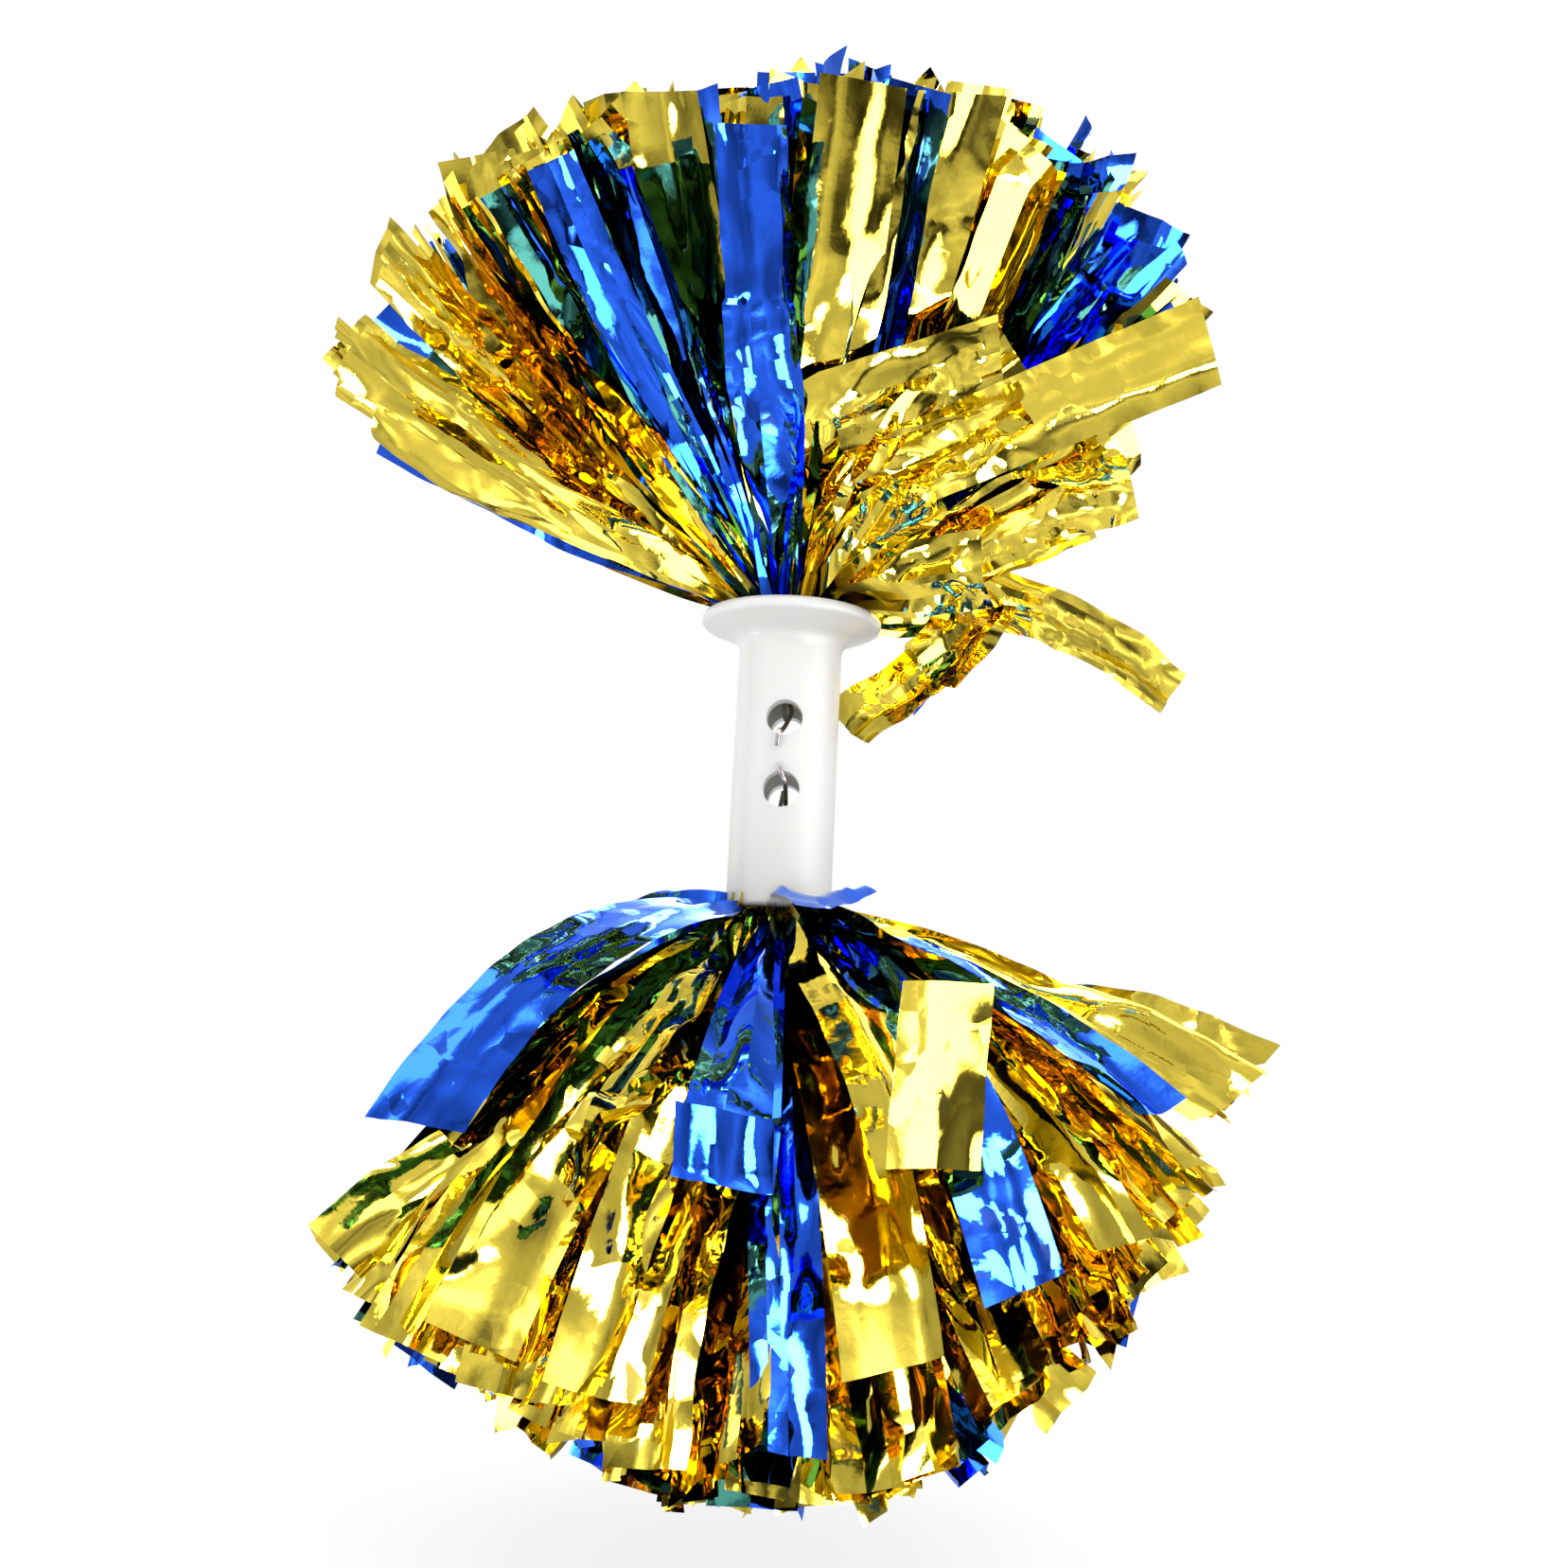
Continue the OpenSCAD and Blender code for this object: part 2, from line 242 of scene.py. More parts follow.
def ribbon(seed, az, pol, length, root=None, root_az=None, root_r=7.6, gather=52.0, narrow=0.2,
           flat=0.965, amp=1.0, width=STREAMER_WIDTH, trim=None, **course):
    """One foil streamer as (vertices in mm, quads), opening towards +Z.

    root            start point; otherwise it lies at root_az, root_r just inside the mouth
    narrow, flat    share of the width that shows at the root, and after the distance gather
    amp             strength of the creases
    trim            function giving the last step to keep
    course          further arguments of spine
    """
    rng = np.random.default_rng(seed)
    dist, polar, azimuth, turn = spine(rng, az, pol, length, **course)
    share = dist / length
    tangent = np.stack([np.sin(polar) * np.cos(azimuth), np.sin(polar) * np.sin(azimuth),
                        np.cos(polar)], 1)
    centre = np.zeros((len(dist), 3))
    centre[1:] = np.cumsum((tangent[1:] + tangent[:-1]) * 0.5 * (dist[1] - dist[0]), 0)
    if root is None:
        angle = math.radians(az if root_az is None else root_az)
        root = (root_r * math.cos(angle), root_r * math.sin(angle), HALF - 2.0)
    centre += np.array(root)

    steps = len(dist) - 1
    if trim is not None:
        keep = trim(centre)
        if keep < steps:
            steps = max(keep, int(0.8 * steps))
            dist, share, centre, tangent, azimuth, turn = (
                values[:steps + 1]
                for values in (dist, share, centre, tangent, azimuth, turn))
            share = share / share[-1]
            length = dist[-1]

    level = np.stack([-np.sin(azimuth), np.cos(azimuth), np.zeros_like(azimuth)], 1)
    steep = np.cross(level, tangent)
    cos_turn, sin_turn = np.cos(turn)[:, None], np.sin(turn)[:, None]
    sideways = level * cos_turn + steep * sin_turn
    normal = steep * cos_turn - level * sin_turn

    # gathered at the root, opening to the full width; length across the foil is kept
    opening = np.clip((dist - 2.0) / gather, 0, 1)
    shown = narrow + (flat - narrow) * opening * (1.25 - 0.25 * opening)
    columns = np.linspace(-width / 2, width / 2, COLUMNS + 1)
    root_pleats = pleat_heights(rng, width / COLUMNS, 2, 6)
    tip_pleats = pleat_heights(rng, width / COLUMNS, 3, 7)
    to_tip = smooth((dist - 0.45 * length) / (0.35 * length))[:, None]
    pleats = root_pleats * (1 - to_tip) + tip_pleats * to_tip
    offset = shown[:, None] * columns[None, :]
    height = np.sqrt(np.maximum(0.0, 1 - shown ** 2))[:, None] * pleats

    along, across = np.meshgrid(dist, columns, indexing="ij")
    bow = rng.uniform(-1.4, 1.4)
    height = height + smooth((along - 10.0) / 35) * (
        creases(along, across, length, rng, amp) + bow * (2 * across / width) ** 2)
    edge = np.abs(2 * across / width) ** 3
    height = height + amp * 0.35 * edge * smooth((along - 30) / 40) * np.sin(
        2 * math.pi * (along / rng.uniform(14, 24) + rng.random() + 0.2 * np.sign(across)))
    # the tip is cut off at a slant
    slide = rng.uniform(-0.22, 0.22) * offset * smooth((share - 0.9) / 0.1)[:, None]

    vertices = (centre[:, None, :] + sideways[:, None, :] * offset[:, :, None]
                + normal[:, None, :] * height[:, :, None]
                + tangent[:, None, :] * slide[:, :, None])
    i, j = np.meshgrid(np.arange(steps), np.arange(COLUMNS), indexing="ij")
    corner = (i * (COLUMNS + 1) + j).ravel()
    quads = np.stack([corner, corner + 1, corner + COLUMNS + 2, corner + COLUMNS + 1], 1)
    return vertices.reshape(-1, 3), quads.tolist()


def mesh_object(name, parts, material, flip=False, sharp=21.0):
    """Joins (vertices in mm, faces) parts into one object, smooth below the sharp angle."""
    vertices = np.concatenate([part[0] for part in parts]) * MM
    faces, offset = [], 0
    for part_vertices, part_faces in parts:
        faces += [[corner + offset for corner in face] for face in part_faces]
        offset += len(part_vertices)
    if flip:
        vertices = vertices * np.array([1.0, 1.0, -1.0])
        faces = [face[::-1] for face in faces]
    mesh = bpy.data.meshes.new(name)
    mesh.from_pydata(vertices.tolist(), [], faces)
    mesh.update()
    mesh.polygons.foreach_set("use_smooth", np.ones(len(mesh.polygons), bool))
    mesh.set_sharp_from_angle(angle=math.radians(sharp))
    ob = bpy.data.objects.new(name, mesh)
    bpy.context.scene.collection.objects.link(ob)
    mesh.materials.append(material)
    return ob


# ---------------------------------------------------------------- shader helpers

def add_node(tree, kind, inputs=None, **settings):
    """Adds a shader node. An input given as a socket is linked, anything else is its value."""
    node = tree.nodes.new("ShaderNode" + kind)
    for key, value in settings.items():
        setattr(node, key, value)
    for key, value in (inputs or {}).items():
        if isinstance(value, bpy.types.NodeSocket):
            tree.links.new(value, node.inputs[key])
        else:
            node.inputs[key].default_value = value
    return node


def new_material(name):
    material = bpy.data.materials.new(name)
    material.use_nodes = True
    material.node_tree.nodes.clear()
    return material, material.node_tree


def principled(tree, inputs):
    shader = add_node(tree, "BsdfPrincipled", inputs)
    add_node(tree, "OutputMaterial", {"Surface": shader.outputs[0]})


def noise(tree, vector, scale, detail=2.0, output="Fac"):
    inputs = {"Vector": vector, "Scale": scale, "Detail": detail}
    return add_node(tree, "TexNoise", inputs).outputs[output]


def map_range(tree, value, target, source=(0.0, 1.0), **settings):
    inputs = {"Value": value, "From Min": source[0], "From Max": source[1],
              "To Min": target[0], "To Max": target[1]}
    return add_node(tree, "MapRange", inputs, **settings).outputs["Result"]


def mix(tree, kind, factor, first, second):
    inputs = {"Factor": factor, "A": first, "B": second}
    return add_node(tree, "Mix", inputs, data_type=kind).outputs["Result"]


def vector_math(tree, operation, inputs):
    return add_node(tree, "VectorMath", inputs, operation=operation).outputs


def bump(tree, height, strength, distance, normal=None):
    inputs = {"Height": height, "Strength": strength, "Distance": distance}
    if normal:
        inputs["Normal"] = normal
    return add_node(tree, "Bump", inputs).outputs["Normal"]


# ---------------------------------------------------------------- materials

def foil(name, colour, tint):
    """Mirror metallised film: fine crinkles, a faint uneven haze, a clear lacquer on top."""
    material, tree = new_material(name)
    place = add_node(tree, "TexCoord").outputs["Object"]
    haze = noise(tree, place, scale=55.0, detail=3.0)
    roughness = map_range(tree, haze, source=(0.35, 0.70), target=(0.03, 0.10))

    # patches of crushed film: flat facets a few millimetres wide, each tilted its own way
    warp = noise(tree, place, scale=90.0, detail=1.0, output="Color")
    shifted = mix(tree, "VECTOR", factor=0.012, first=place, second=warp)
    cell = add_node(tree, "TexVoronoi", {"Vector": shifted, "Scale": 150.0})
    patch = noise(tree, place, scale=26.0, detail=2.0)
    amount = map_range(tree, patch, source=(0.50, 0.68), target=(0.015, 0.24))
    centred = vector_math(tree, "SUBTRACT", {0: cell.outputs["Color"], 1: (0.5, 0.5, 0.5)})[0]
    tilt = vector_math(tree, "SCALE", {0: centred, "Scale": amount})[0]
    surface_normal = add_node(tree, "NewGeometry").outputs["Normal"]
    tilted = vector_math(tree, "ADD", {0: surface_normal, 1: tilt})[0]
    facets = vector_math(tree, "NORMALIZE", {0: tilted})[0]

    crinkle = noise(tree, place, scale=330.0, detail=2.0)
    principled(tree, {
        "Metallic": 1.0,
        "Base Color": (*colour, 1),
        "Specular Tint": (*tint, 1),
        "Coat Weight": 0.05,
        "Coat Roughness": 0.05,
        "Roughness": roughness,
        "Normal": bump(tree, crinkle, strength=0.07, distance=0.0006, normal=facets),
    })
    return material


def handle_plastic():
    """Off-white, slightly translucent plastic with a fine grain and a slow unevenness."""
    material, tree = new_material("handle_plastic")
    place = add_node(tree, "TexCoord").outputs["Object"]
    mottle = noise(tree, place, scale=38.0, detail=4.0)
    colour = mix(tree, "RGBA", factor=mottle, first=(0.86, 0.855, 0.83, 1),
                 second=(0.93, 0.925, 0.905, 1))
    roughness = map_range(tree, mottle, target=(0.30, 0.46))
    grain = noise(tree, place, scale=900.0, detail=3.0)
    unevenness = noise(tree, place, scale=22.0)
    grained = bump(tree, grain, strength=0.12, distance=0.0003)
    principled(tree, {
        "Base Color": colour,
        "Subsurface Weight": 0.35,
        "Subsurface Radius": (1.0, 0.95, 0.85),
        "Subsurface Scale": 0.004,
        "IOR": 1.49,
        "Roughness": roughness,
        "Normal": bump(tree, unevenness, strength=0.15, distance=0.002, normal=grained),
    })
    return material


def tie_wire_steel():
    """Dull, mottled steel."""
    material, tree = new_material("tie_wire")
    place = add_node(tree, "TexCoord").outputs["Object"]
    mottle = noise(tree, place, scale=500.0, detail=4.0)
    principled(tree, {
        "Metallic": 1.0,
        "Base Color": mix(tree, "RGBA", factor=mottle, first=(0.20, 0.19, 0.18, 1),
                          second=(0.52, 0.51, 0.50, 1)),
        "Roughness": map_range(tree, mottle, target=(0.22, 0.45)),
        "Normal": bump(tree, mottle, strength=0.2, distance=0.0002),
    })
    return material


FOILS = {
    "gold": foil("gold_foil", colour=(0.82, 0.64, 0.075), tint=(1.0, 0.92, 0.6)),
    "blue": foil("blue_foil", colour=(0.022, 0.125, 0.88), tint=(0.75, 0.88, 1.0)),
}
PLASTIC = handle_plastic()
STEEL = tie_wire_steel()

# ---------------------------------------------------------------- streamers drawn one by one

# Columns: colour, seed, azimuth, three polar angles, length, twist at root and tip, flat, amp,
# further arguments of ribbon. Upper end: the fan stands steep in front and leans out to the
# left and right. Lower end: broad strips roll over the rim of the mouth and fall as a dome.
DRAWN = {
    ("upper", "front"): [
        ("blue", 101, -97, (50, 41, 37), 125, (4, 18), 0.985, 0.8,
         dict(kinks=((84, -9, 0, 8),), gather=62, wave=0.5)),
        ("gold", 103, -79, (42, 32, 27), 134, (0, 4), 0.995, 0.5, dict(gather=62, wave=0.5)),
        ("blue", 104, -69, (40, 34, 27), 135, (30, 64), 0.98, 0.5, dict(wave=0.5)),
        ("gold", 105, -62, (42, 34, 30), 136, (0, 16), 0.99, 1.0, dict(gather=70)),
        ("gold", 112, -89, (30, 24, 20), 134, (0, -14), 0.97, 1.1, {}),
        ("gold", 114, -80, (42, 42, 42), 103, (4, 10), 0.97, 1.6,
         dict(wave=0.4, kinks=((56, 35, 65, 48),), gather=48)),
    ],
    ("upper", "front_right"): [
        ("gold", 106, -27, (46, 36, 30), 133, (14, -8), 0.97, 2.0, dict(width=15)),
        ("gold", 113, -30, (48, 38, 34), 135, (-10, -20), 0.97, 0.9, {}),
        ("gold", 107, -62, (50, 50, 50), 134, (10, 12), 0.99, 0.9,
         dict(wave=0.3, kinks=((40, 25, 36, 44),), gather=44)),
        ("blue", 108, -14, (49, 39, 34), 138, (30, 40), 0.98, 0.7, {}),
        ("gold", 115, -16, (56, 50, 42), 130, (40, 50), 0.97, 1.2, {}),
        ("gold", 116, -20, (71, 65, 60), 93, (38, 30), 0.95, 1.7,
         dict(gather=50, kinks=((60, 22, 0, 10),))),
        ("gold", 127, -14, (76, 71, 68), 79, (44, 30), 0.94, 1.9, dict(gather=46)),
        ("gold", 128, -12, (68, 61, 56), 99, (30, 44), 0.95, 1.6, dict(gather=50)),
        ("gold", 129, -14, (60, 53, 48), 108, (20, 44), 0.95, 1.5, dict(gather=60)),
        ("gold", 130, -52, (74, 64, 52), 84, (10, 30), 0.94, 2.0,
         dict(gather=44, kinks=((52, 8, 24, -30),))),
        ("blue", 131, -20, (60, 52, 46), 124, (-4, -8), 0.96, 0.5, dict(gather=70)),
        ("gold", 132, -38, (84, 88, 96), 58, (60, 74), 0.95, 1.7, dict(gather=34)),
        ("gold", 117, -16, (72, 66, 62), 87, (44, 24), 0.95, 1.8, dict(gather=50)),
        ("blue", 118, -52, (36, 30, 26), 112, (-30, -36), 0.97, 0.6, {}),
        ("gold", 119, -54, (60, 50, 40), 92, (20, 10), 0.95, 1.7,
         dict(gather=44, kinks=((60, 10, 30, 30),))),
    ],
    ("upper", "front_left"): [
        ("gold", 102, -115, (42, 32, 27), 134, (-4, 6), 0.993, 0.6, dict(gather=62, wave=0.5)),
        ("gold", 109, -151, (61, 51, 47), 133, (8, 16), 0.96, 1.0, {}),
        ("gold", 124, -145, (60, 49, 44), 131, (14, 24), 0.96, 0.7, {}),
        ("gold", 125, -154, (66, 57, 52), 133, (-10, 4), 0.96, 1.3, dict(gather=80)),
        ("gold", 126, -134, (48, 38, 34), 130, (20, 34), 0.96, 1.0, {}),
        ("gold", 120, -140, (58, 48, 44), 130, (10, 26), 0.96, 0.9, {}),
        ("blue", 110, -138, (57, 47, 43), 129, (-26, -20), 0.97, 0.6, dict(width=16)),
        ("blue", 121, -128, (54, 43, 39), 128, (-34, -24), 0.97, 0.5, dict(width=13)),
        ("gold", 111, -164, (72, 62, 57), 132, (-14, -30), 0.97, 1.0, {}),
        ("gold", 122, -152, (78, 66, 58), 134, (-24, 10), 0.97, 1.0, dict(width=13)),
        ("gold", 137, -134, (58, 46, 40), 124, (30, 50), 0.96, 1.2, dict(width=11)),
        ("gold", 138, -142, (60, 50, 46), 122, (10, 30), 0.95, 1.4, dict(width=13)),
        ("blue", 136, -122, (48, 38, 34), 120, (0, 8), 0.97, 0.5, dict(width=13)),
        ("blue", 123, -176, (76, 66, 61), 120, (-20, -30), 0.97, 0.4, dict(gather=80)),
        ("gold", 133, -163, (82, 70, 63), 117, (-6, -20), 0.97, 0.8, dict(gather=70, width=14)),
        ("gold", 134, -170, (74, 64, 59), 134, (-30, -50), 0.98, 0.7, dict(gather=80, width=12)),
        ("gold", 135, -158, (76, 68, 64), 108, (0, 20), 0.96, 1.3, dict(gather=70, width=12)),
    ],
    ("lower", "front_left"): [
        ("blue", 201, -124, (96, 62, 35), 128, (-14, -30), 0.995, 0.6,
         dict(root_az=-146, start=50, bend=10, gather=20, narrow=0.5, wave=0.4)),
        ("gold", 202, -124, (59, 45, 28), 137, (-34, -36), 0.997, 0.6,
         dict(root_az=-142, start=14, bend=16, gather=22, narrow=0.55, wave=0.4)),
        ("blue", 218, -150, (102, 84, 46), 36, (-30, -50), 0.97, 1.0,
         dict(root_az=-165, start=50, bend=6, gather=24, narrow=0.5, width=14)),
    ],
    ("lower", "front"): [
        ("gold", 203, -106, (51, 41, 31), 140, (-14, -12), 0.995, 0.6,
         dict(root_az=-120, start=14, bend=16, gather=24, narrow=0.5, wave=0.4)),
        ("gold", 210, -96, (26, 16, 6), 134, (-4, -8), 0.99, 0.7,
         dict(root_az=-112, start=14, bend=16, gather=40, narrow=0.4)),
        ("gold", 215, -113, (58, 52, 46), 114, (0, 34), 0.95, 2.3,
         dict(root_az=-122, start=30, gather=30, narrow=0.4,
              kinks=((80, 16, 20, -20), (96, -30, -34, 30)))),
        ("blue", 204, -82, (51, 41, 31), 149, (8, 12), 0.97, 0.5,
         dict(root_az=-97, start=14, bend=16, gather=70, narrow=0.3, width=16)),
        ("blue", 216, -96, (58, 48, 40), 96, (16, 30), 0.96, 0.8,
         dict(root_az=-104, start=30, gather=70, narrow=0.4, width=11)),
        ("gold", 205, -72, (62, 46, 27), 137, (12, 12), 0.996, 0.6,
         dict(root_az=-60, start=14, bend=16, gather=18, narrow=0.6, wave=0.4)),
    ],
    ("lower", "front_right"): [
        ("blue", 206, -48, (79, 70, 59), 126, (14, 26), 0.97, 0.5,
         dict(root_az=-24, start=44, bend=10, gather=26, narrow=0.5, wave=0.4, width=12)),
        ("gold", 207, -30, (79, 71, 63), 124, (24, 40), 0.98, 0.7,
         dict(root_az=0, start=44, bend=10, gather=34, narrow=0.4, wave=0.4)),
        ("gold", 220, -26, (77, 70, 64), 122, (60, 74), 0.9, 1.0,
         dict(root_az=8, start=44, bend=10, gather=34, narrow=0.4, wave=0.4, width=12)),
        ("gold", 213, -37, (80, 69, 58), 126, (-12, 0), 0.95, 0.9,
         dict(root_az=-10, start=40, bend=10, gather=40, narrow=0.4)),
        ("gold", 214, -46, (79, 66, 53), 136, (-24, -12), 0.96, 1.0,
         dict(root_az=-20, start=40, bend=10, gather=40, narrow=0.4)),
        ("gold", 211, -52, (76, 61, 40), 138, (0, 16), 0.95, 1.5,
         dict(root_az=-29, start=34, gather=36, narrow=0.4)),
        ("gold", 209, -50, (75, 60, 38), 138, (-34, -40), 0.96, 1.0,
         dict(root_az=-30, start=34, gather=36, narrow=0.4)),
        ("blue", 208, -61, (74, 58, 30), 138, (18, 30), 0.99, 0.6,
         dict(root_az=-50, start=30, gather=50, width=17)),
        ("blue", 217, -66, (112, 96, 66), 34, (0, 20), 0.95, 1.2,
         dict(root_az=-70, start=50, bend=6, gather=16, narrow=0.5)),
    ],
}


# ---------------------------------------------------------------- locks of streamers

def spread(up, az):
    """Lean of the outermost streamers of an end from the handle's axis, by azimuth, degrees."""
    cosine, sine = math.cos(math.radians(az)), math.sin(math.radians(az))
    left, right, front, rear = (59, 48, 26, 42) if up else (45, 60, 45, 42)
    sides, ends = (left if cosine < 0 else right), (front if sine < 0 else rear)
    return sides * cosine * cosine + ends * sine * sine


def ordinary_streamers(up, ring_name, centre, rng):
    """The many ordinary streamers of one lock: a list of (colour, ribbon arguments)."""
    ring = RINGS[ring_name]
    span = 360.0 / len(ring.locks)
    lower_outer = not up and ring_name == "outer"
    streamers = []
    run = 0                               # streamers left before the colour is drawn again
    blue = False
    for i in range(ring.count):
        az = centre - span / 2 + span * (i + rng.uniform(0.15, 0.85)) / ring.count
        cosine = math.cos(math.radians(az))
        frontness = max(0.0, -math.sin(math.radians(az)))
        low, high = ring.levels
        level = low + (high - low) * ((i * 0.618 + 0.12 * rng.random()) % 1.0)
        lean = spread(up, az) * level
        if lower_outer:
            lean *= 1 - 0.2 * frontness ** 2
        bending = min(1.0, lean / 50.0)
        if up:
            pol = (lean + 13 * bending + rng.uniform(-3, 5),
                   lean + rng.uniform(-4, 2),
                   lean - 7 * bending + rng.uniform(-5, 6))
        else:
            roll = 34 - 15 * max(0.0, cosine) - 24 * frontness ** 1.5
            pol = (lean + roll * bending + rng.uniform(-5, 5),
                   lean + 6 * bending + rng.uniform(-3, 3),
                   lean - 0.85 * roll * bending + rng.uniform(-6, 5))

        if run <= 0:
            blue = rng.random() < (0.21 if up or -130 < az < -40 else 0.28)
            run = int(rng.integers(1, 4))
        run -= 1
        # these stretches of the lower end stay gold
        if lower_outer and (-115 < az < -55 and level > 0.8 or -55 <= az < 20):
            blue = False

        if rng.random() < 0.24 + (0.2 if up else 0.35) * cosine ** 2:
            # a quarter turn straight in front, falling to none at the sides
            from_front = (az + 270.0) % 360.0 - 180.0
            if abs(from_front) < 90:
                quarter = math.copysign(90.0 - abs(from_front), from_front)
                root_twist = -quarter + rng.normal(0, 18)
            else:
                root_twist = rng.normal(0, 40)
        else:
            root_twist = rng.normal(0, 24)
        tip_twist = root_twist + rng.normal(0, 24)

        kinks = []
        if rng.random() < 0.45:
            kinks.append((rng.uniform(45, 125), rng.normal(0, 8), rng.normal(0, 6),
                          rng.normal(0, 16)))
        if ring_name != "outer":
            kinks.append((rng.uniform(104, 138), rng.choice((-1, 1)) * rng.uniform(14, 46),
                          rng.normal(0, 20), rng.normal(0, 24)))
        elif rng.random() < 0.30:
            kinks.append((rng.uniform(90, 135), rng.normal(0, 14), rng.normal(0, 9),
                          rng.normal(0, 24)))

        reach = 1.0 + (0.035 * min(1.0, max(-2.0, rng.normal(-0.3, 0.8))))
        # the order of these entries is the order of the random draws
        shape = dict(
            seed=int(rng.integers(1000, 900000)), az=az, pol=pol, length=150.0,
            twist=(root_twist, tip_twist), drift=rng.normal(0, 5),
            flat=rng.uniform(0.93, 0.985), amp=rng.uniform(0.6, 1.25), kinks=kinks,
            gather=rng.uniform(66, 100) if up else rng.uniform(44, 74),
            root_r=rng.uniform(*ring.root_radii), root_az=az + rng.normal(0, 16),
            curl=rng.normal(0, 7), trim=trimmer(up, reach))
        if lower_outer:
            shape.update(start=18, bend=8 + 14 * frontness ** 3)
        elif not up:
            shape.update(flat=rng.uniform(0.68, 0.93),
                         twist=(root_twist, root_twist + rng.normal(0, 40)))
        streamers.append(("blue" if blue else "gold", shape))
    return streamers


def lock_parts(end, ring_name, index, centre):
    """All ribbons of one lock, by colour."""
    up = end == "upper"
    seed = FIRST_SEED + (0 if up else LOWER_SEED) + RINGS[ring_name].seed + index
    rng = np.random.default_rng(seed)
    parts = {"gold": [], "blue": []}
    for colour, shape in ordinary_streamers(up, ring_name, centre, rng):
        parts[colour].append(ribbon(**shape))
    lock = RINGS[ring_name].locks[index]
    for colour, seed, az, pol, length, twist, flat, amp, more in DRAWN.get((end, lock), []):
        parts[colour].append(
            ribbon(seed, az, pol, length, twist=twist, flat=flat, amp=amp, **more))
    return parts


def add_foil(node, parts, colour, **options):
    ob = mesh_object(f"foil_{node}", parts, FOILS[colour], **options)
    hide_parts(node)
    return ob


def blend_root(ob):
    """Bakes the object's placement into its mesh."""
    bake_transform(ob)


def blend_lock(ob):
    blend_root(ob)


def add_lock(end, ring_name, index):
    up = end == "upper"
    ring = RINGS[ring_name]
    azimuth = ring.first_azimuth + 360 / len(ring.locks) * index
    polar = {"outer": 45.0 if up else 60.0, "inner": 28.0, "crown": 0.0}[ring_name]
    parts = lock_parts(end, ring_name, index, azimuth)
    name = f"{end}_{ring.locks[index]}"
    for colour in ("gold", "blue"):
        if not parts[colour]:
            # a lock that drew none of this colour gets one straight streamer of it
            parts[colour].append(ribbon(seed=77, az=azimuth + 5, pol=(polar, polar, polar),
                                        length=144, root_r=4))
        ob = add_foil(f"{name}_{colour}_streamers", parts[colour], colour, flip=not up)
        blend_lock(ob)


for end in ("upper", "lower"):
    for ring_name, ring in RINGS.items():
        for index in range(len(ring.locks)):
            add_lock(end, ring_name, index)

# ---------------------------------------------------------------- single streamers

# Loose streamers over the upper rim, right of the mouth: colour, azimuth of the body, shape
LOOSE = {
    "upper_loose_gold_streamer": ("gold", 16, dict(
        seed=301, az=10, root=(5.0, 1.2, HALF + 0.5), pol=(55, 110, 125), length=112, start=60,
        bend=8, twist=(104, 116), gather=40, flat=0.97, amp=1.3, wave=0.4)),
    "upper_loose_blue_streamer": ("blue", 40, dict(
        seed=302, az=25, root=(4.0, 3.4, HALF + 0.5), pol=(78, 84, 90), length=86, start=60,
        bend=8, twist=(-20, -40), gather=36, flat=0.96, amp=0.8, wave=0.4,
        kinks=((54, 130, 0, 10),))),
    "upper_loose_crumpled_streamer": ("gold", 64, dict(
        seed=303, az=6, root=(3.0, 4.2, HALF + 0.5), pol=(80, 86, 92), length=105, start=60,
        bend=8, twist=(36, 62), gather=26, flat=0.93, amp=2.0,
        kinks=((51, 133, 0, 14), (76, 6, 0, -24)))),
}
for node, (colour, azimuth, shape) in LOOSE.items():
    ob = add_foil(node, [ribbon(**shape)], colour)
    blend_root(ob)

# Streamers of the lower front lock that fold back sharply near the tip: colour, shape
FOLDED = {
    "lower_folded_gold_streamer": ("gold", dict(
        seed=401, az=-68, pol=(74, 50, 38), length=152, start=16, bend=8, twist=(0, 0),
        gather=38, flat=0.995, amp=0.8, wave=0.2, kinks=((112, 132, 0, 0),))),
    "lower_folded_blue_streamer": ("blue", dict(
        seed=402, az=-92, pol=(74, 50, 38), length=131, start=16, bend=8, twist=(0, -12),
        gather=96, flat=0.99, amp=0.6, wave=0.2, kinks=((114, 130, 0, 0),))),
}
for node, (colour, shape) in FOLDED.items():
    ob = add_foil(node, [ribbon(**shape)], colour, flip=True)
    blend_lock(ob)


# ---------------------------------------------------------------- packed foil in the mouths

